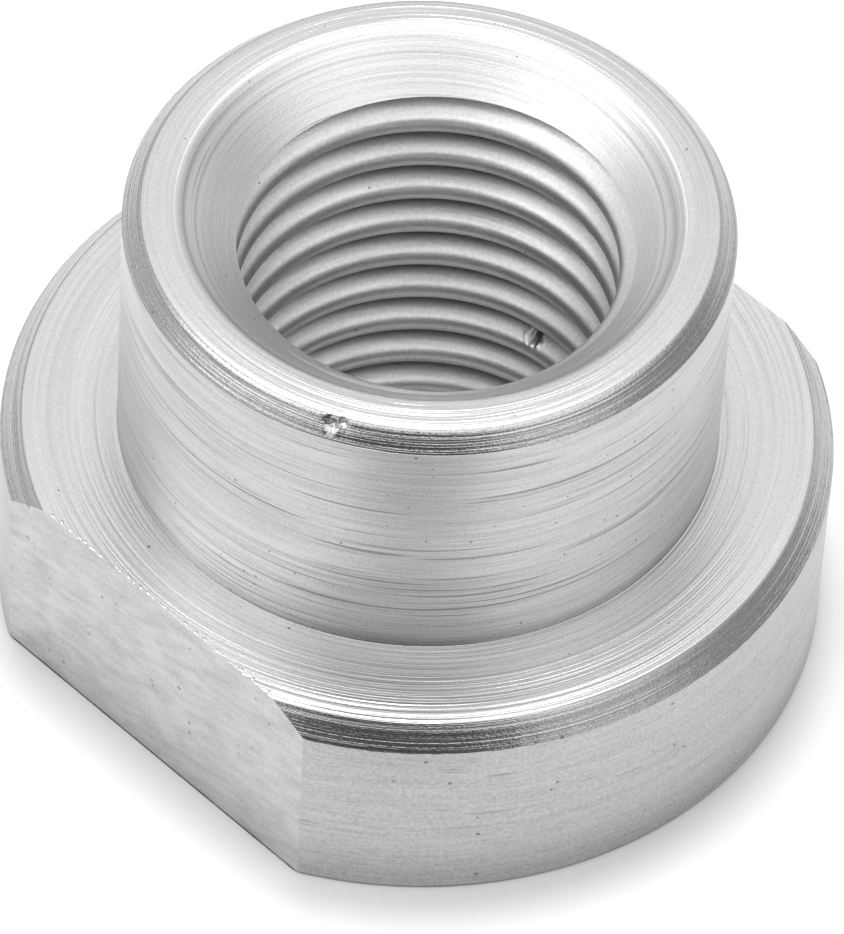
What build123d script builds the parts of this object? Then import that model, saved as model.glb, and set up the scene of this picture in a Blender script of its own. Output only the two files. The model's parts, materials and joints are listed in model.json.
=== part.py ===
from build123d import *
import os
from math import radians, tan

# Threaded nut, turned from one bar: a round barrel on a wider round flange that has two wrench flats.
# The origin is the centre of the flange's bottom face. +Z runs along the axis, towards the barrel's open end.
# The flats face +Y and -Y. All sizes are in millimetres.

# Barrel
barrel_diameter = 15.88
barrel_height = 7.98            # above the flange's top face
rim_chamfer_radial = 0.46       # turned bevel round the barrel's open end
rim_chamfer_axial = 0.50
rim_round = 0.25                # where the bevel rolls into the end face
root_round = 0.30               # tool radius in the corner between the barrel and the flange

# Flange
flange_diameter = 22.05
flange_thickness = 6.14
across_flats = 19.10
edge_chamfer_radial = 0.55      # turned bevel round the flange's top edge
edge_chamfer_axial = 0.62
edge_round = 0.45               # where the bevel rolls into the flange's top face
bottom_break = 0.08             # deburred lower edge

# Bore: the hole that the 7/16 inch, 20 per inch thread is cut in
bore_diameter = 9.92
countersink_diameter = 13.15
countersink_angle = 100.0       # included angle of the cone at the barrel's open end
lead_in_diameter = 11.40        # shallow cone at the bottom end, just wider than the thread
lead_in_angle = 100.0

# What follows from them
barrel_radius = barrel_diameter / 2
flange_radius = flange_diameter / 2
bore_radius = bore_diameter / 2
countersink_radius = countersink_diameter / 2
lead_in_radius = lead_in_diameter / 2
total_height = flange_thickness + barrel_height
countersink_depth = (countersink_radius - bore_radius) / tan(radians(countersink_angle / 2))
lead_in_depth = (lead_in_radius - bore_radius) / tan(radians(lead_in_angle / 2))


def corner(sketch, radius, height):
    """The half section's vertex at this distance from the axis and this height."""
    return sketch.vertices().sort_by_distance((radius, height))[0]


def turned_blank():
    """The whole turned body: its half section, swept once round the axis."""
    with BuildPart() as blank:
        with BuildSketch(Plane.XZ) as section:
            with BuildLine():
                Polyline(
                    (lead_in_radius, 0),
                    (flange_radius - bottom_break, 0),
                    (flange_radius, bottom_break),
                    (flange_radius, flange_thickness - edge_chamfer_axial),
                    (flange_radius - edge_chamfer_radial, flange_thickness),
                    (barrel_radius, flange_thickness),
                    (barrel_radius, total_height - rim_chamfer_axial),
                    (barrel_radius - rim_chamfer_radial, total_height),
                    (countersink_radius, total_height),
                    (bore_radius, total_height - countersink_depth),
                    (bore_radius, lead_in_depth),
                    close=True,
                )
            make_face()
            fillet(corner(section, barrel_radius, flange_thickness), root_round)
            fillet(corner(section, flange_radius - edge_chamfer_radial, flange_thickness), edge_round)
            fillet(corner(section, barrel_radius - rim_chamfer_radial, total_height), rim_round)
        revolve(axis=Axis.Z)
    return blank.part


def flats_envelope():
    """A slab as wide as the flats are apart. It is longer and taller than the blank."""
    length = flange_diameter + across_flats
    return Box(length, across_flats, total_height * 2, align=(Align.CENTER, Align.CENTER, Align.CENTER))


def threaded_nut():
    nut = turned_blank() & flats_envelope()
    nut.label = "threaded_nut"
    return nut


os.makedirs("parts", exist_ok=True)
export_step(threaded_nut(), "parts/threaded_nut.step")
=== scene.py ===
import bpy
import bmesh
import json
from math import acos, ceil, cos, exp, hypot, pi, radians, sin, tan
from mathutils import Matrix, Vector, noise


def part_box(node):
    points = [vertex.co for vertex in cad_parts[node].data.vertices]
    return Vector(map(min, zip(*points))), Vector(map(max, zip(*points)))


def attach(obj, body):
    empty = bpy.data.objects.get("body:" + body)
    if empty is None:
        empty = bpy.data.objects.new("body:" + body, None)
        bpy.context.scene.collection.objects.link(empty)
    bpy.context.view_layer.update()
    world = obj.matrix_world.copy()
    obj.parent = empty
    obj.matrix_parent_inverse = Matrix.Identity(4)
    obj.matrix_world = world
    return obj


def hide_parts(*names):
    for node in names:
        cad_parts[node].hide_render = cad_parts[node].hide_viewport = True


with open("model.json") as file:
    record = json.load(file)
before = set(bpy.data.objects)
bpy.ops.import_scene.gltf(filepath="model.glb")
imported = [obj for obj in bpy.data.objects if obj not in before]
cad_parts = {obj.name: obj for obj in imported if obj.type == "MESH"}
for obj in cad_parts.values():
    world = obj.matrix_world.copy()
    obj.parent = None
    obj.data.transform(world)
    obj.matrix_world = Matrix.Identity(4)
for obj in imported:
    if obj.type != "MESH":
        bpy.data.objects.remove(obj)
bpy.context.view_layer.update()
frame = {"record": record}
mm = 0.001
hair = 0.002 * mm  # points closer than this are one point

# Nut: the main sizes come from the frame, the cones and bevels are the solid's, and the roundings are as
# sharp as the photo shows them
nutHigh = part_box("threaded_nut")[1]  # the box's upper corner
mounts = {mount["name"]: mount for mount in frame["record"]["mounts"]}
nut = {
    "flangeRadius": nutHigh.x,
    "flangeHeight": mounts["shoulder"]["pos_m"][2],
    "flatDistance": nutHigh.y,
    "barrelRadius": mounts["barrel_outside"]["dims"]["r_mm"] * mm,
    "height": nutHigh.z,
    "boreRadius": mounts["thread"]["dims"]["r_mm"] * mm,
    "mouthRadius": 6.575 * mm,       # where the cone meets the end face
    "mouthAngle": radians(100),      # included
    "leadInRadius": 5.70 * mm,
    "leadInAngle": radians(100),
    "rimBevel": (0.46 * mm, 0.50 * mm),      # radial, axial
    "rimRound": 0.25 * mm,
    "edgeBevel": (0.55 * mm, 0.62 * mm),
    "edgeRound": 0.13 * mm,
    "rootRound": 0.02 * mm,
    "mouthRound": 0.12 * mm,          # where the end face rolls into the cone
    "bottomBreak": 0.08 * mm,
    "columns": 432,                   # facets round the axis
    "cutTolerance": 0.0001 * mm,      # for the cuts that make the flats
    "edgeSteps": 6, "rootSteps": 5, "rimSteps": 5,    # facets in each rounding
    # strips that each straight stretch of the half section is split into
    "underStrips": 3, "sideStrips": 3, "bevelStrips": 2,
    "shoulderStrips": 4, "barrelStrips": 5, "endStrips": 3,
}


def deselectAll():
    if bpy.context.object and bpy.context.object.mode != "OBJECT":
        bpy.ops.object.mode_set(mode="OBJECT")
    bpy.ops.object.select_all(action="DESELECT")


def makeActive(piece):
    deselectAll()
    piece.select_set(True)
    bpy.context.view_layer.objects.active = piece


def linear(hexColour):  # sRGB hex to linear
    channels = [int(hexColour[i:i + 2], 16) / 255 for i in (1, 3, 5)]
    return tuple(c / 12.92 if c <= 0.04045 else ((c + 0.055) / 1.055) ** 2.4 for c in channels) + (1,)


# Turned body: half section from the lead-in's edge out round the flange and up to the mouth
def roundedCorner(before, corner, after, radius, steps):  # an arc in place of a corner
    toBefore = (Vector(before) - Vector(corner)).normalized()
    toAfter = (Vector(after) - Vector(corner)).normalized()
    half = acos(toBefore.dot(toAfter)) / 2
    centre = Vector(corner) + (toBefore + toAfter).normalized() * radius / sin(half)
    start = Vector(corner) + toBefore * radius / tan(half) - centre
    end = Vector(corner) + toAfter * radius / tan(half) - centre
    sweep = start.angle(end)
    points = []
    for step in range(steps + 1):
        t = step / steps
        points.append(centre + (start * sin((1 - t) * sweep) + end * sin(t * sweep)) / sin(sweep))
    return [tuple(p) for p in points]


def straightRun(start, end, steps):  # points between two ends, without the ends
    return [tuple(Vector(start).lerp(Vector(end), step / steps)) for step in range(1, steps)]


def mouthRoll():  # how far the mouth's rounding reaches along the end face, and along the cone
    return nut["mouthRound"] * tan((pi / 2 - nut["mouthAngle"] / 2) / 2)


def bodySection():
    flangeRadius, flangeHeight = nut["flangeRadius"], nut["flangeHeight"]
    barrelRadius, height = nut["barrelRadius"], nut["height"]
    edgeIn = (flangeRadius - nut["edgeBevel"][0], flangeHeight)
    edgeOut = (flangeRadius, flangeHeight - nut["edgeBevel"][1])
    root = (barrelRadius, flangeHeight)
    rimOut = (barrelRadius, height - nut["rimBevel"][1])
    rimIn = (barrelRadius - nut["rimBevel"][0], height)
    mouth = (nut["mouthRadius"] + mouthRoll(), height)
    bottomOut = (flangeRadius, nut["bottomBreak"])
    bottomIn = (flangeRadius - nut["bottomBreak"], 0)
    lead = (nut["leadInRadius"], 0)
    edgeArc = roundedCorner(root, edgeIn, edgeOut, nut["edgeRound"], nut["edgeSteps"])
    rootArc = roundedCorner(edgeIn, root, rimOut, nut["rootRound"], nut["rootSteps"])
    rimArc = roundedCorner(rimOut, rimIn, mouth, nut["rimRound"], nut["rimSteps"])
    section = [lead] + straightRun(lead, bottomIn, nut["underStrips"]) + [bottomIn, bottomOut]
    section += straightRun(bottomOut, edgeOut, nut["sideStrips"]) + [edgeOut]
    section += straightRun(edgeOut, edgeArc[-1], nut["bevelStrips"]) + edgeArc[::-1]
    section += straightRun(edgeArc[0], rootArc[0], nut["shoulderStrips"]) + rootArc
    section += straightRun(rootArc[-1], rimOut, nut["barrelStrips"]) + [rimOut]
    section += straightRun(rimOut, rimArc[0], nut["bevelStrips"]) + rimArc
    section += straightRun(rimArc[-1], mouth, nut["endStrips"]) + [mouth]
    return section


def turnBody():
    section = bodySection()
    deselectAll()
    firstRadius, firstHeight = section[0]
    bpy.ops.mesh.primitive_circle_add(
        vertices=nut["columns"], radius=firstRadius, location=(0, 0, firstHeight))
    body = bpy.context.object
    bpy.ops.object.mode_set(mode="EDIT")
    bpy.ops.mesh.select_all(action="SELECT")
    for (radius, height), (nextRadius, nextHeight) in zip(section, section[1:]):
        bpy.ops.mesh.extrude_region_move(TRANSFORM_OT_translate={"value": (0, 0, nextHeight - height)})
        scale = nextRadius / radius
        bpy.ops.transform.resize(value=(scale, scale, 1), center_override=(0, 0, nextHeight))
    for side in (-1, 1):
        bpy.ops.mesh.select_all(action="SELECT")
        bpy.ops.mesh.bisect(
            plane_co=(0, side * nut["flatDistance"], 0), plane_no=(0, side, 0),
            use_fill=True, clear_outer=True, threshold=nut["cutTolerance"])
    bpy.ops.object.mode_set(mode="OBJECT")
    return body


# Thread: 7/16 inch, 20 to the inch, left-hand, cut in the drilled bore, with softly rounded crests
thread = {
    "pitch": 1.30 * mm,           # a touch over the nominal 1.27, as the photo shows it
    "rootRadius": 5.62 * mm,
    "halfAngle": radians(30),
    "rootFlat": 0.15 * mm,
    "crestRound": 0.32 * mm, "crestSteps": 4,
    "rootRound": 0.12 * mm, "rootSteps": 1,
    "phase": -0.2,                # share of a pitch that the whole thread is moved up by
    "hand": -1,                   # -1 is left-hand
    "leadRings": 4, "rollRings": 3, "mouthRings": 8,
    "ringGap": 0.02 * mm,         # a ring this near to the thread's own points is left out
    "spareLaps": 2,               # turns beyond both ends, for the run-out
}


def threadProfile():  # one pitch from root to root: heights and radii
    rise = (thread["rootRadius"] - nut["boreRadius"]) * tan(thread["halfAngle"])
    rootEnd = thread["rootFlat"] / 2
    crestStart = rootEnd + rise
    corners = [
        (-crestStart, nut["boreRadius"]), (-rootEnd, thread["rootRadius"]),
        (rootEnd, thread["rootRadius"]), (crestStart, nut["boreRadius"]),
        (thread["pitch"] - crestStart, nut["boreRadius"]),
    ]
    corners.insert(0, (corners[3][0] - thread["pitch"], nut["boreRadius"]))
    points = []
    for before, corner, after in zip(corners, corners[1:], corners[2:]):
        if corner[1] == nut["boreRadius"]:
            points += roundedCorner(before, corner, after, thread["crestRound"], thread["crestSteps"])
        else:
            points += roundedCorner(before, corner, after, thread["rootRound"], thread["rootSteps"])
    return points


def coneRadius(height):  # the mouth's cone and its rolled edge, or the lead-in's cone, whichever is wider
    below = max(0, nut["height"] - height)
    mouth = nut["mouthRadius"] - below * tan(nut["mouthAngle"] / 2)
    if below < mouthRoll() * cos(nut["mouthAngle"] / 2):
        rise = nut["mouthRound"] - below
        mouth = nut["mouthRadius"] + mouthRoll() - (nut["mouthRound"] ** 2 - rise ** 2) ** 0.5
    lead = nut["leadInRadius"] - height * tan(nut["leadInAngle"] / 2)
    return max(mouth, lead)


def grooveReaches(wound, height):  # whether the thread is cut deeper than the cones at this height
    for (low, lowRadius), (high, highRadius) in zip(wound, wound[1:]):
        if low <= height <= high:
            radius = lowRadius + (highRadius - lowRadius) * (height - low) / (high - low)
            if radius > coneRadius(height):
                return True
    return False


def coneRings():  # heights of the rings on both cones and on the mouth's rolled edge
    halfMouth, halfLead = nut["mouthAngle"] / 2, nut["leadInAngle"] / 2
    mouthDepth = (nut["mouthRadius"] - nut["boreRadius"]) / tan(halfMouth)
    leadDepth = (nut["leadInRadius"] - nut["boreRadius"]) / tan(halfLead)
    rollDepth = mouthRoll() * cos(halfMouth)
    leadRings, rollRings, mouthRings = thread["leadRings"], thread["rollRings"], thread["mouthRings"]
    rings = [leadDepth * step / leadRings for step in range(leadRings + 1)]
    rings += [nut["height"] - rollDepth * (step / rollRings) ** 2 for step in range(rollRings)]
    for step in range(mouthRings + 1):
        rings.append(nut["height"] - rollDepth - (mouthDepth - rollDepth) * step / mouthRings)
    return rings


def threadColumn(turn, profile):  # the wall at one azimuth, from the bottom up: heights and radii
    pitch = thread["pitch"]
    shift = (thread["phase"] + thread["hand"] * turn) % 1 * pitch
    wound = []
    for lap in range(-thread["spareLaps"], ceil(nut["height"] / pitch) + thread["spareLaps"]):
        wound += [(shift + lap * pitch + rise, radius) for rise, radius in profile]
    column = []
    for (low, lowRadius), (high, highRadius) in zip(wound, wound[1:]):
        below, above = lowRadius - coneRadius(low), highRadius - coneRadius(high)
        if below > 0 and 0 < low < nut["height"]:
            column.append((low, lowRadius))
        if below * above < 0 and 0 < low and high < nut["height"]:
            share = below / (below - above)
            column.append((low + (high - low) * share, lowRadius + (highRadius - lowRadius) * share))
    for height in coneRings():
        near = [other for other, radius in column if abs(other - height) < thread["ringGap"]]
        if height in (0, nut["height"]) or not (near or grooveReaches(wound, height)):
            column.append((height, coneRadius(height)))
    return sorted(column)


def cutThread(body):  # no operator runs a thread out in a cone, so the bore's wall is laid column by column
    profile = threadProfile()
    wall = bmesh.new()
    columns = []
    for number in range(nut["columns"]):
        turn = number / nut["columns"]
        azimuth = 2 * pi * turn  # from +Y, where the primitive's first vertex lies
        column = threadColumn(turn, profile)
        columns.append([
            (height, wall.verts.new((-radius * sin(azimuth), radius * cos(azimuth), height)))
            for height, radius in column])
    for left, right in zip(columns, columns[1:] + columns[:1]):
        i = j = 0
        while i < len(left) - 1 or j < len(right) - 1:
            if j == len(right) - 1 or (i < len(left) - 1 and left[i + 1][0] <= right[j + 1][0]):
                wall.faces.new((left[i][1], left[i + 1][1], right[j][1]))
                i += 1
            else:
                wall.faces.new((left[i][1], right[j + 1][1], right[j][1]))
                j += 1
    mesh = bpy.data.meshes.new("bore_wall")
    wall.to_mesh(mesh)
    wall.free()
    bore = bpy.data.objects.new("bore_wall", mesh)
    bpy.context.scene.collection.objects.link(bore)
    makeActive(body)
    bore.select_set(True)
    bpy.ops.object.join()
    bpy.ops.object.mode_set(mode="EDIT")
    bpy.ops.mesh.select_all(action="SELECT")
    bpy.ops.mesh.remove_doubles(threshold=hair)
    bpy.ops.mesh.normals_make_consistent(inside=False)
    bpy.ops.object.mode_set(mode="OBJECT")


body = turnBody()
body.name = "turned_nut"
print("body turned")
cutThread(body)
print("thread cut:", len(body.data.polygons), "faces")

# Wear: a knock has left two small dents on the rim, one turn of the thread is nicked, and the lower edges of
# both bevels are a little ragged. A dent's place is the azimuth, the radius and the height of its middle.
wear = {
    "dents": [
        {"place": (296.2, 7.66 * mm, 13.96 * mm), "reach": 0.16 * mm, "depth": 0.085 * mm, "down": 0.65},
        {"place": (298.6, 7.56 * mm, 14.06 * mm), "reach": 0.11 * mm, "depth": 0.05 * mm, "down": 0.65},
        {"place": (98.2, 5.30 * mm, 4.62 * mm), "reach": 0.16 * mm, "depth": -0.30 * mm, "down": 0},
    ],
    "dentInward": 0.75,        # how far a dent points at the axis
    "dentWhole": 2.6,          # a dent and its lip end at this many reaches
    "dentCuts": 2,             # the faces there are split by this many cuts
    "dentGrain": 0.11 * mm, "dentTorn": 0.9,    # how rough it is inside
    "lipAt": 1.5, "lipWidth": 0.5,    # the metal pushed up round a dent, in reaches
    "lipHeight": 0.12, "lipTorn": 0.25,
    "edgeRagged": 0.035 * mm, "rimRagged": 0.015 * mm, "raggedGrain": 0.22 * mm,
    "smoothBelow": radians(28),
}


def placeOf(azimuth, radius, height):
    return Vector((radius * cos(radians(azimuth)), radius * sin(radians(azimuth)), height))


def dent(body, spot):  # the faces round it are made finer, then pushed to the axis, or out by a minus depth
    middle = placeOf(*spot["place"])
    makeActive(body)
    for face in body.data.polygons:
        face.select = (face.center - middle).length < wear["dentWhole"] * spot["reach"]
    for part in (body.data.edges, body.data.vertices):
        for element in part:
            element.select = False
    bpy.ops.object.mode_set(mode="EDIT")
    bpy.ops.mesh.select_mode(type="FACE")
    bpy.ops.mesh.subdivide(number_cuts=wear["dentCuts"])
    bpy.ops.object.mode_set(mode="OBJECT")
    towardsAxis = -Vector((middle.x, middle.y, 0)).normalized()
    inward = towardsAxis * wear["dentInward"] - Vector((0, 0, spot["down"]))
    for vertex in body.data.vertices:
        away = (vertex.co - middle).length / spot["reach"]
        if away < wear["dentWhole"]:
            torn = noise.noise(vertex.co / wear["dentGrain"])
            fromLip = (away - wear["lipAt"]) / wear["lipWidth"]
            sunk = (1 + wear["dentTorn"] * torn) * exp(-away * away)
            raised = (wear["lipHeight"] + wear["lipTorn"] * torn) * exp(-fromLip ** 2)
            vertex.co += inward * (sunk - raised) * spot["depth"]
            vertex.co.z = min(vertex.co.z, nut["height"])


def ragEdge(body, radius, height, amount):  # a cut edge that isn't quite even
    for vertex in body.data.vertices:
        x, y, z = vertex.co
        if abs(hypot(x, y) - radius) < hair and abs(z - height) < hair:
            vertex.co.z += amount * noise.noise(Vector((x, y, 0)) / wear["raggedGrain"])


ragEdge(body, nut["flangeRadius"], nut["flangeHeight"] - nut["edgeBevel"][1], wear["edgeRagged"])
ragEdge(body, nut["barrelRadius"], nut["height"] - nut["rimBevel"][1], wear["rimRagged"])
for spot in wear["dents"]:
    dent(body, spot)
makeActive(body)
bpy.ops.object.shade_smooth_by_angle(angle=wear["smoothBelow"])
print("wear added:", len(body.data.polygons), "faces")

# Burr: the cutter has left a thin torn lip along the top edge of the front flat
burr = {
    "side": -1,                # the front flat faces -Y
    "step": 0.040 * mm, "sides": 8,
    "rootShadeShare": 0.030 * mm, "thick": 0.070 * mm,
    "grain": 0.15 * mm, "drift": 5,     # size of its lumps, and where the noise for them is read
    "lumps": 0.45, "fineLumps": 0.5, "fineGrain": 3,    # how thick it mostly is, and what finer lumps add
    "sink": 0.044 * mm,        # how deep it sits in the edge
    # how far it strays, how often inwards and upwards, and what keeps that apart from the lumps
    "wobble": 0.035 * mm, "wobbleIn": 1.7, "wobbleUp": 2.3, "apart": 9,
}


def edgePath():  # along the top edge of a flat, through the bevel at both ends: x and height
    flatDistance, bevel = nut["flatDistance"], nut["edgeBevel"]
    reach = (nut["flangeRadius"] ** 2 - flatDistance ** 2) ** 0.5
    count = round(2 * reach / burr["step"])
    path = []
    for step in range(count + 1):
        x = -reach + 2 * reach * step / count
        overBevel = hypot(x, flatDistance) - (nut["flangeRadius"] - bevel[0])
        path.append((x, nut["flangeHeight"] - max(0, overBevel) * bevel[1] / bevel[0]))
    return path


def tearBurr():
    deselectAll()
    path, side = edgePath(), burr["side"]
    bpy.ops.mesh.primitive_circle_add(vertices=burr["sides"], radius=burr["rootShadeShare"], fill_type="NGON")
    lip = bpy.context.object
    lip.name = "burr_front"
    bpy.ops.object.mode_set(mode="EDIT")
    bpy.ops.mesh.select_all(action="SELECT")
    bpy.ops.transform.rotate(value=pi / 2, orient_axis="Y", center_override=(0, 0, 0))
    start = (path[0][0], side * (nut["flatDistance"] - burr["rootShadeShare"]), path[0][1] - burr["sink"])
    bpy.ops.transform.translate(value=start)
    place, width = Vector(start), burr["rootShadeShare"]
    for x, height in path[1:]:
        along = Vector((x / burr["grain"], side * burr["drift"], 0))
        fine = noise.noise(along * burr["fineGrain"])
        rough = burr["lumps"] + noise.noise(along) + burr["fineLumps"] * fine
        nextWidth = burr["rootShadeShare"] + (burr["thick"] - burr["rootShadeShare"]) * min(1, max(0, rough))
        waveIn = noise.noise(along * burr["wobbleIn"] + Vector((burr["apart"], 0, 0)))
        waveUp = noise.noise(along * burr["wobbleUp"] + Vector((0, burr["apart"], 0)))
        inward = burr["wobble"] * (0.5 + waveIn)
        upward = burr["wobble"] * 0.5 * waveUp
        y = side * (nut["flatDistance"] - nextWidth - max(0, inward))
        nextPlace = Vector((x, y, height + upward - burr["sink"]))
        bpy.ops.mesh.extrude_region_move(TRANSFORM_OT_translate={"value": nextPlace - place})
        scale = nextWidth / width
        bpy.ops.transform.resize(value=(1, scale, scale), center_override=nextPlace)
        place, width = nextPlace, nextWidth
    bpy.ops.mesh.select_all(action="SELECT")
    bpy.ops.mesh.normals_make_consistent(inside=False)
    bpy.ops.object.mode_set(mode="OBJECT")
    bpy.ops.object.transform_apply(location=True, rotation=True, scale=True)
    bpy.ops.object.shade_smooth()
    return lip


lip = tearBurr()
print("burr torn")


# Materials
def addNode(tree, kind, settings=None, inputs=None):  # an input that is a socket is linked, any other is set
    node = tree.nodes.new(kind)
    for name, value in (settings or {}).items():
        setattr(node, name, value)
    for name, value in (inputs or {}).items():
        if isinstance(value, bpy.types.NodeSocket):
            tree.links.new(value, node.inputs[name])
        else:
            node.inputs[name].default_value = value
    return node


# Bright zinc plating over turned steel: a pale neutral grey metal with a satin sheen. The lathe's feed leaves
# rings round the axis, so the shine breaks into fine lines. Widths across the lines are real ones. "Along" is
# how many times a line changes in a radian round the axis, a depth is that of the marks, and a tone is how
# far they show. Scratches are what passes a threshold, and pits lie in a share of the cells of a pattern.
# Painted shade by height is given as the height where darkening starts, the height where it is full, and how
# much it adds.
turnedBase = {
    "band": 0.45 * mm, "bandAlong": 0.4, "bandDepth": 0.001 * mm, "bandTone": 0.10, "bandRough": 0.06,
    "ring": 0.18 * mm, "ringAlong": 0.6,
    "line": 0.055 * mm, "lineAlong": 1.2, "lineDepth": 0.004 * mm, "lineRough": 0.10,
    "scratch": 0.09 * mm, "scratchAlong": 1.3, "scratchEdge": 0.06,
    "scratchDark": 0.5, "scratchDepth": -0.003 * mm, "scratchRough": 0.15,
    "grain": 0.06 * mm, "grainDepth": 0.003 * mm, "grainTone": 0.45,
    "pit": 0.5 * mm, "pitSize": 0.11, "pitShare": 0.35, "pitDark": 0.6, "pitDepth": -0.010 * mm,
}
turnedFinishes = {
    # the level faces: dense rings, cut rather than stained, so they show most towards the front
    "faced_zinc_plated_steel": {
        **turnedBase, "colour": "#d7d7d7", "roughness": 0.27, "bandTone": 0.06,
        "ring": 0.13 * mm, "ringAlong": 0.4, "ringDepth": 0.020 * mm, "ringTone": 0.30,
        "lineDepth": 0.013 * mm, "lineTone": 0.30, "scratchFrom": 0.68, "scratchDark": 0.3, "grainTone": 0.30,
    },
    # barrel side: long thin scratches and short dashes, and painted shade darkening the corner at the foot
    "turned_zinc_plated_steel": {
        **turnedBase, "colour": "#cccccc", "roughness": 0.32, "bandTone": 0.14,
        "ringDepth": 0.002 * mm, "ringTone": 0.26,
        "line": 0.045 * mm, "lineAlong": 3.5, "lineTone": 0.62,
        "scratch": 0.070 * mm, "scratchAlong": 1.5, "scratchFrom": 0.605,
        "pit": 0.36 * mm, "pitSize": 0.12, "pitShare": 0.9,
        "paintedShade": (nut["flangeHeight"] + 0.50 * mm, nut["flangeHeight"], 0.28),
    },
    # flange side: the bar's own drawn skin under the plating, speckled, with a dark line of painted shade at
    # the foot
    "drawn_zinc_plated_steel": {
        **turnedBase, "colour": "#c1c1c1", "roughness": 0.36,
        "ringDepth": 0.001 * mm, "ringTone": 0.2,
        "lineAlong": 6.0, "lineDepth": 0.002 * mm, "lineTone": 0.32,
        "scratchAlong": 6.0, "scratchFrom": 0.67, "scratchDark": 0.3,
        "grain": 0.10 * mm, "grainDepth": 0.006 * mm, "grainTone": 0.6,
        "pitSize": 0.13, "pitShare": 0.7, "paintedShade": (0.10 * mm, 0.05 * mm, 0.65),
    },
    # bevels: a formed cut with a few strong lines, and a dark line of painted shade at the foot
    "bevelled_zinc_plated_steel": {
        **turnedBase, "colour": "#bababa", "roughness": 0.20,
        "ring": 0.10 * mm, "ringAlong": 0.35, "ringDepth": 0.022 * mm, "ringTone": 0.65,
        "lineDepth": 0.008 * mm, "lineTone": 0.55, "scratchFrom": 0.60, "scratchDark": 0.45,
        "grainDepth": 0.006 * mm, "grainTone": 0.8, "paintedShade": (0.10 * mm, 0.05 * mm, 0.65),
    },
    # cone: smoother, with rings that grow in strength between two radii, towards its mouth
    "countersunk_zinc_plated_steel": {
        **turnedBase, "colour": "#d5d5d5", "roughness": 0.40, "bandTone": 0.06,
        "ring": 0.11 * mm, "ringAlong": 0.4, "ringDepth": 0.007 * mm, "ringTone": 1.4,
        "ringsFrom": (5.82 * mm, 6.0 * mm), "leastRings": 0.08,
        "lineDepth": 0.002 * mm, "lineTone": 0.18, "scratchAlong": 0.8, "scratchFrom": 0.68,
        "grainTone": 0.30, "pitShare": 0.15,
    },
    # thread: dull plating, with painted shade darkening it from the crests to the roots, but not just under
    # the mouth
    "tapped_zinc_plated_steel": {
        **turnedBase, "colour": "#dcdcdc", "shadedRootColour": "#989898", "roughness": 0.42,
        "rootDepths": (0.05 * mm, 0.60 * mm), "underMouth": (1.5 * mm, 2.6 * mm),
        "ringDepth": 0.001 * mm, "ringTone": 0.1, "lineDepth": 0.001 * mm, "lineTone": 0.15,
        "scratchFrom": 0.80, "grain": 0.10 * mm, "grainDepth": 0.005 * mm, "grainTone": 0.35, "pitShare": 0.1,
    },
}
# The flats are milled and then plated: satin, with soft smudges along the cutter's slanting path, and a dark
# line of painted shade at the foot
milledFinish = {
    "colour": "#cbcbcb", "roughness": 0.36,
    "cloud": 0.9 * mm, "cloudTone": 0.30, "cloudRough": 0.08,
    "mark": 0.30 * mm, "markLength": 1.05 * mm, "slant": radians(10),
    "markDepth": 0.004 * mm, "markTone": 0.62,
    "grain": 0.09 * mm, "grainDepth": 0.005 * mm, "grainTone": 0.4,
    "pit": 0.48 * mm, "pitSize": 0.16, "pitShare": 0.78, "pitDark": 0.42, "pitDepth": -0.010 * mm,
    "paintedShade": (0.10 * mm, 0.05 * mm, 0.75),
}
baseMark = 0.10  # how far the marks darken the metal on average
darkMark = "#2b2b2b"


def plainMetal(name):
    metal = bpy.data.materials.new(name)
    metal.use_nodes = True
    metal.node_tree.nodes["Principled BSDF"].inputs["Metallic"].default_value = 1
    place = addNode(metal.node_tree, "ShaderNodeTexCoord").outputs["Object"]
    return metal, metal.node_tree, place


def addSpeckle(tree, place, finish, marks):  # the plating's grain, and pits in some cells of a cell pattern
    speckle = {"Vector": place, "Scale": 1 / finish["grain"], "Detail": 2.0}
    marks["grain"] = addNode(tree, "ShaderNodeTexNoise", None, speckle).outputs["Fac"]
    cells = addNode(tree, "ShaderNodeTexVoronoi", None, {"Vector": place, "Scale": 1 / finish["pit"]}).outputs
    picked = addNode(tree, "ShaderNodeSeparateXYZ", None, {0: cells["Color"]}).outputs[0]
    size = addNode(tree, "ShaderNodeMapRange", None, {
        "Value": picked, "From Min": 1 - finish["pitShare"], "To Max": finish["pitSize"]}).outputs[0]
    inPit = addNode(tree, "ShaderNodeMath", {"operation": "LESS_THAN"}, {0: cells["Distance"], 1: size})
    marks["pit"] = inPit.outputs[0]


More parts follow.
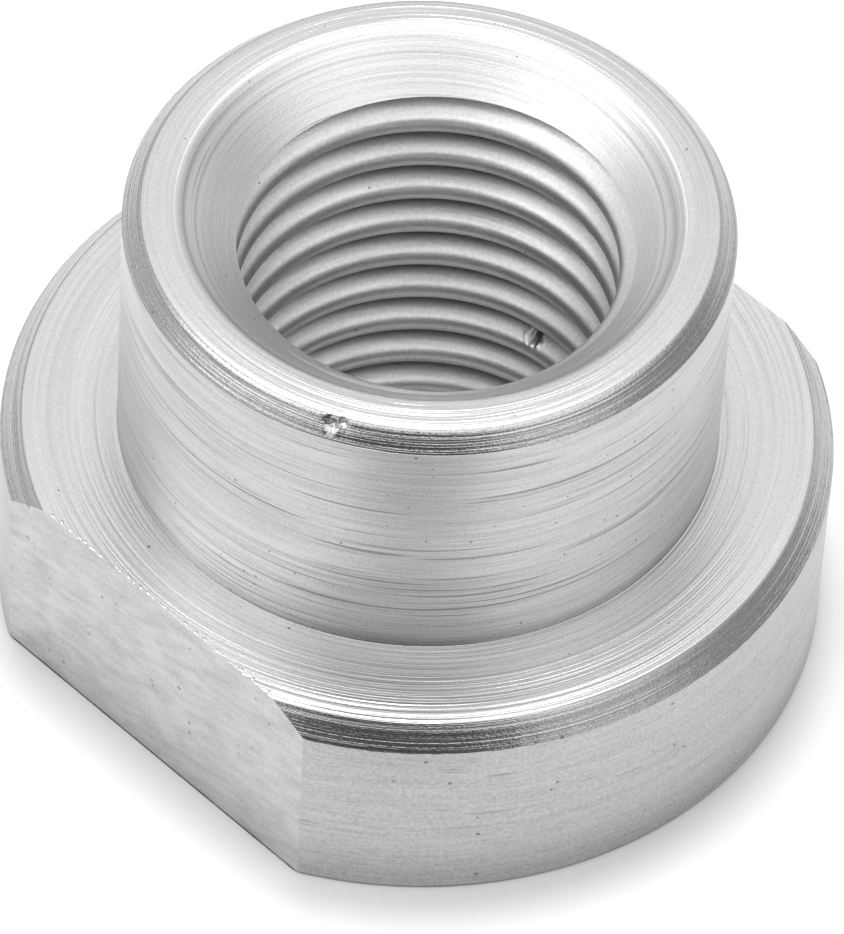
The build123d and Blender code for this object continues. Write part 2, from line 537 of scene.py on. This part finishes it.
def layMarks(tree, finish, marks, tone, shade):  # what the marks do to the colour, the sheen and the surface
    shader = tree.nodes["Principled BSDF"]
    if "paintedShade" in finish:  # painted shade, darker downwards to a given height: the shade in the corner at the barrel's foot, and along the lower edges
        place = addNode(tree, "ShaderNodeTexCoord").outputs["Object"]
        height = addNode(tree, "ShaderNodeSeparateXYZ", None, {0: place}).outputs[2]
        start, full, amount = finish["paintedShade"]
        shade = addNode(tree, "ShaderNodeMapRange", {"interpolation_type": "SMOOTHSTEP"}, {
            "Value": height, "From Min": start, "From Max": full,
            "To Min": shade, "To Max": shade + amount}).outputs[0]
    shown = [kind for kind in marks if kind + "Tone" in finish]
    dark = shade
    for kind in shown:
        share = {0: marks[kind], 1: finish[kind + "Tone"], 2: dark}
        if "ringsFrom" in finish and kind == "ring":
            share[1] = marks["ringShare"]
        dark = addNode(tree, "ShaderNodeMath", {"operation": "MULTIPLY_ADD"}, share).outputs[0]
    for kind in ("scratch", "pit"):
        if kind in marks:
            share = {0: marks[kind], 1: finish[kind + "Dark"]}
            ink = addNode(tree, "ShaderNodeMath", {"operation": "MULTIPLY"}, share).outputs[0]
            dark = addNode(tree, "ShaderNodeMath", {"operation": "MAXIMUM"}, {0: dark, 1: ink}).outputs[0]
    mixed = addNode(tree, "ShaderNodeMix", {"data_type": "RGBA"}, {0: dark, 6: tone, 7: linear(darkMark)})
    tree.links.new(mixed.outputs[2], shader.inputs["Base Color"])
    rough = finish["roughness"] - sum(finish.get(kind + "Rough", 0) for kind in shown) / 2
    for kind in marks:
        if kind + "Rough" in finish:
            share = {0: marks[kind], 1: finish[kind + "Rough"], 2: rough}
            rough = addNode(tree, "ShaderNodeMath", {"operation": "MULTIPLY_ADD"}, share).outputs[0]
    tree.links.new(rough, shader.inputs["Roughness"])
    relief = 0.0
    for kind in marks:
        if kind + "Depth" in finish:
            share = {0: marks[kind], 1: finish[kind + "Depth"], 2: relief}
            relief = addNode(tree, "ShaderNodeMath", {"operation": "MULTIPLY_ADD"}, share).outputs[0]
    bump = addNode(tree, "ShaderNodeBump", None, {"Height": relief, "Strength": 1.0, "Distance": 1.0})
    tree.links.new(bump.outputs["Normal"], shader.inputs["Normal"])


def averageShade(finish):  # the marks lie round a half, so half of each tone is taken off
    tones = [value for name, value in finish.items() if name.endswith("Tone")]
    return baseMark - sum(tones) / 2


def turnedMetal(name, finish):
    metal, tree, place = plainMetal(name)
    axes = addNode(tree, "ShaderNodeSeparateXYZ", None, {0: place}).outputs
    level = addNode(tree, "ShaderNodeCombineXYZ", None, {0: axes[0], 1: axes[1]}).outputs[0]
    radius = addNode(tree, "ShaderNodeVectorMath", {"operation": "LENGTH"}, {0: level}).outputs["Value"]
    outward = addNode(tree, "ShaderNodeVectorMath", {"operation": "NORMALIZE"}, {0: level}).outputs[0]
    turn = addNode(tree, "ShaderNodeSeparateXYZ", None, {0: outward}).outputs
    lathe = addNode(tree, "ShaderNodeCombineXYZ", None, {0: radius, 1: axes[2], 2: turn[0]}).outputs[0]
    marks = {}
    # fine across the tool's path and long round the axis, with no seam, each from its own part of the noise
    for kind, detail, shift in (("band", 1.0, 0), ("ring", 2.0, 3), ("line", 1.0, 7), ("scratch", 1.0, 19)):
        across, along = 1 / finish[kind], finish[kind + "Along"]
        laid = addNode(tree, "ShaderNodeMapping", None, {
            "Vector": lathe, "Location": (shift, 0, 0), "Scale": (across, across, along)}).outputs[0]
        turned = addNode(tree, "ShaderNodeMath", {"operation": "MULTIPLY"}, {0: turn[1], 1: along}).outputs[0]
        marks[kind] = addNode(tree, "ShaderNodeTexNoise", {"noise_dimensions": "4D"}, {
            "Vector": laid, "W": turned, "Scale": 1.0, "Detail": detail}).outputs["Fac"]
    threshold = finish["scratchFrom"]
    marks["scratch"] = addNode(tree, "ShaderNodeMapRange", None, {
        "Value": marks["scratch"], "From Min": threshold,
        "From Max": threshold + finish["scratchEdge"]}).outputs[0]
    addSpeckle(tree, place, finish, marks)
    tone, shade = linear(finish["colour"]), averageShade(finish)
    # painted shade in the thread's grooves: darker from the crests to the roots, fading out towards the mouth
    if "shadedRootColour" in finish:
        crest, root = [nut["boreRadius"] + depth for depth in finish["rootDepths"]]
        upper, lower = [nut["height"] - depth for depth in finish["underMouth"]]
        deep = addNode(tree, "ShaderNodeMapRange", None, {
            "Value": radius, "From Min": crest, "From Max": root}).outputs[0]
        below = addNode(tree, "ShaderNodeMapRange", None, {
            "Value": axes[2], "From Min": upper, "From Max": lower}).outputs[0]
        rootShadeShare = addNode(tree, "ShaderNodeMath", {"operation": "MULTIPLY"}, {0: deep, 1: below}).outputs[0]
        tone = addNode(tree, "ShaderNodeMix", {"data_type": "RGBA"}, {
            0: rootShadeShare, 6: linear(finish["colour"]), 7: linear(finish["shadedRootColour"])}).outputs[2]
    if "ringsFrom" in finish:
        marks["ringShare"] = addNode(tree, "ShaderNodeMapRange", None, {
            "Value": radius, "From Min": finish["ringsFrom"][0], "From Max": finish["ringsFrom"][1],
            "To Min": finish["leastRings"] * finish["ringTone"], "To Max": finish["ringTone"]}).outputs[0]
        shade = addNode(tree, "ShaderNodeMath", {"operation": "MULTIPLY_ADD"}, {
            0: marks["ringShare"], 1: -0.5, 2: shade + finish["ringTone"] / 2}).outputs[0]
    layMarks(tree, finish, marks, tone, shade)
    return metal


def milledMetal(name, finish):
    metal, tree, place = plainMetal(name)
    turned = addNode(tree, "ShaderNodeMapping", None, {
        "Vector": place, "Rotation": (0, finish["slant"], 0)}).outputs[0]
    stretched = addNode(tree, "ShaderNodeMapping", None, {
        "Vector": turned, "Scale": (1 / finish["markLength"], 1, 1 / finish["mark"])}).outputs[0]
    smudges = {"Vector": stretched, "Scale": 1.0, "Detail": 3.0}
    clouds = {"Vector": place, "Scale": 1 / finish["cloud"], "Detail": 4.0}
    marks = {
        "mark": addNode(tree, "ShaderNodeTexNoise", None, smudges).outputs["Fac"],
        "cloud": addNode(tree, "ShaderNodeTexNoise", None, clouds).outputs["Fac"],
    }
    addSpeckle(tree, place, finish, marks)
    layMarks(tree, finish, marks, linear(finish["colour"]), averageShade(finish))
    return metal


# A face belongs to the cut that its middle lies this near to, or else to the one that its normal fits
sorting = {
    "inBore": 0.01 * mm, "onCone": 0.02 * mm, "onFlat": 0.01 * mm,
    "sideways": 0.99, "level": 0.96, "upright": 0.2,    # how far the normal points along Y or Z
}


def finishOf(polygon):  # which cut made this face
    centre, normal = polygon.center, polygon.normal
    radius = hypot(centre.x, centre.y)
    inner = nut["mouthRadius"] + mouthRoll() - sorting["inBore"]
    if radius < inner and centre.z > 0:
        onCone = abs(radius - coneRadius(centre.z)) < sorting["onCone"]
        return "countersunk_zinc_plated_steel" if onCone else "tapped_zinc_plated_steel"
    fromFlat = abs(abs(centre.y) - nut["flatDistance"])
    if abs(normal.y) > sorting["sideways"] and fromFlat < sorting["onFlat"]:
        return "milled_zinc_plated_steel"
    if abs(normal.z) > sorting["level"]:
        return "faced_zinc_plated_steel"
    if abs(normal.z) < sorting["upright"]:
        onBarrel = centre.z > nut["flangeHeight"]
        return "turned_zinc_plated_steel" if onBarrel else "drawn_zinc_plated_steel"
    return "bevelled_zinc_plated_steel"


body.data.materials.clear()
slots = {}
for name, finish in turnedFinishes.items():
    slots[name] = len(body.data.materials)
    body.data.materials.append(turnedMetal(name, finish))
slots["milled_zinc_plated_steel"] = len(body.data.materials)
body.data.materials.append(milledMetal("milled_zinc_plated_steel", milledFinish))
for polygon in body.data.polygons:
    polygon.material_index = slots[finishOf(polygon)]
lip.data.materials.append(body.data.materials["milled_zinc_plated_steel"])
print("finishes laid")

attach(lip, "root")
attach(body, "root")
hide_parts("threaded_nut")

# Floor: a sheet of matt white paper, which has no shine at all
floor = {"size": 2.0, "colour": "#dadada", "roughness": 0.9, "shine": 0}
viewTurn = 42.72  # azimuths in the picture, where the camera stands at 270, are this far short of the part's


def paperOf(name, finish):
    paper = bpy.data.materials.new(name)
    paper.use_nodes = True
    shader = paper.node_tree.nodes["Principled BSDF"]
    shader.inputs["Base Color"].default_value = linear(finish["colour"])
    shader.inputs["Roughness"].default_value = finish["roughness"]
    shader.inputs["Specular IOR Level"].default_value = finish["shine"]
    return paper


def layFloor():
    deselectAll()
    bpy.ops.mesh.primitive_plane_add(size=floor["size"], location=(0, 0, 0))
    ground = bpy.context.object
    ground.name = "pale_floor"
    ground.data.materials.append(paperOf("white_paper", floor))


layFloor()

# A grey card lies in front, outside the picture. It shows only in the metal, as the barrel's darker middle.
card = {
    "azimuth": 271, "reach": 27 * mm, "radius": 10.5 * mm, "height": 0.3 * mm, "sides": 64,
    "colour": "#9a9a9a", "roughness": 0.9, "shine": 0.5,
}


def layCard():
    deselectAll()
    turn = radians(card["azimuth"] + viewTurn)
    bpy.ops.mesh.primitive_circle_add(
        vertices=card["sides"], radius=card["radius"], fill_type="NGON",
        location=(card["reach"] * cos(turn), card["reach"] * sin(turn), card["height"]))
    flag = bpy.context.object
    flag.name = "grey_card"
    bpy.ops.object.transform_apply(location=True, rotation=False, scale=False)
    flag.data.materials.append(paperOf("grey_card_paper", card))
    flag.visible_camera = flag.visible_diffuse = flag.visible_shadow = False


layCard()
print("floor and card laid")

# World: a soft studio in picture azimuths, darker low down than high up, with round patches that differ
studio = {
    "low": 0.82, "highBack": 0.965, "highFront": 1.75,
    "tilt": 0.167, "rise": (0.44, 0.58),       # where low gives way to high: a height that tilts
    "frontward": (0.35, -0.25),                # and where the back gives way to the front
    "patches": [
        {"azimuth": 190, "elevation": 49, "inner": 9, "outer": 25, "level": 2.70},    # window at the left
        {"azimuth": 352, "elevation": 50, "inner": 6, "outer": 20, "level": 1.75},    # and at the right
        {"azimuth": 2, "elevation": 12, "inner": 12, "outer": 35, "level": 0.46},     # dim corner there
        {"azimuth": 259, "elevation": 26, "inner": 16, "outer": 25, "level": 0.10},   # dark stand and camera
        {"azimuth": 278, "elevation": 26, "inner": 16, "outer": 25, "level": 0.10},
        {"azimuth": 88, "elevation": 66, "inner": 3, "outer": 12, "level": 0.45},     # gap high at the back
    ],
}


def skyDirection(azimuth, elevation):
    azimuth, elevation = radians(azimuth), radians(elevation)
    return (cos(azimuth) * cos(elevation), sin(azimuth) * cos(elevation), sin(elevation))


def lightWorld():
    world = bpy.context.scene.world or bpy.data.worlds.new("studio")
    bpy.context.scene.world = world
    world.use_nodes = True
    tree = world.node_tree
    background = tree.nodes["Background"]
    toSky = addNode(tree, "ShaderNodeTexCoord").outputs["Generated"]
    turned = addNode(tree, "ShaderNodeMapping", None, {
        "Vector": toSky, "Rotation": (0, 0, -radians(viewTurn))}).outputs[0]
    axes = addNode(tree, "ShaderNodeSeparateXYZ", None, {0: turned}).outputs
    tilted = addNode(tree, "ShaderNodeMath", {"operation": "MULTIPLY_ADD"}, {
        0: axes[1], 1: studio["tilt"], 2: axes[2]}).outputs[0]
    upper = addNode(tree, "ShaderNodeMapRange", {"interpolation_type": "SMOOTHSTEP"}, {
        "Value": tilted, "From Min": studio["rise"][0], "From Max": studio["rise"][1]}).outputs[0]
    front = addNode(tree, "ShaderNodeMapRange", {"interpolation_type": "SMOOTHSTEP"}, {
        "Value": axes[1], "From Min": studio["frontward"][0], "From Max": studio["frontward"][1],
        "To Min": studio["highBack"], "To Max": studio["highFront"]}).outputs[0]
    level = addNode(tree, "ShaderNodeMix", {"data_type": "FLOAT"}, {
        "Factor": upper, "A": studio["low"], "B": front}).outputs[0]
    for patch in studio["patches"]:
        inner, outer = cos(radians(patch["inner"])), cos(radians(patch["outer"]))
        near = addNode(tree, "ShaderNodeVectorMath", {"operation": "DOT_PRODUCT"}, {
            0: turned, 1: skyDirection(patch["azimuth"], patch["elevation"])}).outputs["Value"]
        edge = addNode(tree, "ShaderNodeMapRange", {"interpolation_type": "SMOOTHSTEP"}, {
            "Value": near, "From Min": outer, "From Max": inner}).outputs[0]
        level = addNode(tree, "ShaderNodeMix", {"data_type": "FLOAT"}, {
            "Factor": edge, "A": level, "B": patch["level"]}).outputs[0]
    tree.links.new(level, background.inputs["Strength"])
    background.inputs["Color"].default_value = (1, 1, 1, 1)


lightWorld()

# Lamp: a small soft one nearly overhead, for the short shadow in front and the glints on the turned rings
lamp = {"azimuth": 92, "elevation": 79, "distance": 0.4, "diameter": 0.12, "power": 0.95}  # metres, watts


def hangLamp():
    place = Vector(skyDirection(lamp["azimuth"] + viewTurn, lamp["elevation"])) * lamp["distance"]
    bpy.ops.object.light_add(type="AREA", location=place)
    light = bpy.context.object
    light.name = "overhead_lamp"
    light.data.shape = "DISK"
    light.data.size = lamp["diameter"]
    light.data.energy = lamp["power"]
    light.rotation_mode = "QUATERNION"
    light.rotation_quaternion = (-place).to_track_quat("-Z", "Y")


hangLamp()
print("studio lit")

# Camera, solved from the photo: lengths in barrel radii from the centre of the flange's top face
camera = {
    "back": 19.9765, "up": 22.6974,
    "pitch": radians(48.9727), "yaw": radians(-0.0654), "roll": radians(3.5523),
    "focalPixels": 9102.3, "longSide": 934,    # of the picture, in pixels
    "sensor": 36, "clip": (0.01, 10),
}


def placeCamera():
    unit = nut["barrelRadius"]
    cameraData = bpy.data.cameras.new("photo_camera")
    viewer = bpy.data.objects.new("photo_camera", cameraData)
    bpy.context.scene.collection.objects.link(viewer)
    pitch, yaw, roll = camera["pitch"], camera["yaw"], camera["roll"]
    forward = Vector((-sin(yaw) * cos(pitch), cos(yaw) * cos(pitch), -sin(pitch)))
    level = forward.cross(Vector((0, 0, 1))).normalized()
    upright = level.cross(forward)
    right = cos(roll) * level + sin(roll) * upright
    up = -sin(roll) * level + cos(roll) * upright
    turned = Matrix((right, up, -forward)).transposed().to_4x4()
    place = Vector((0, -camera["back"] * unit, camera["up"] * unit))
    aboutZ = Matrix.Rotation(radians(viewTurn), 4, "Z")
    lifted = Matrix.Translation((0, 0, nut["flangeHeight"]))
    viewer.matrix_world = lifted @ aboutZ @ Matrix.Translation(place) @ turned
    cameraData.sensor_width = camera["sensor"]
    cameraData.lens = camera["focalPixels"] * camera["sensor"] / camera["longSide"]
    cameraData.clip_start, cameraData.clip_end = camera["clip"]
    bpy.context.scene.camera = viewer


placeCamera()
print("camera placed")

bpy.context.scene.view_settings.view_transform = "Standard"
print("scene ready")
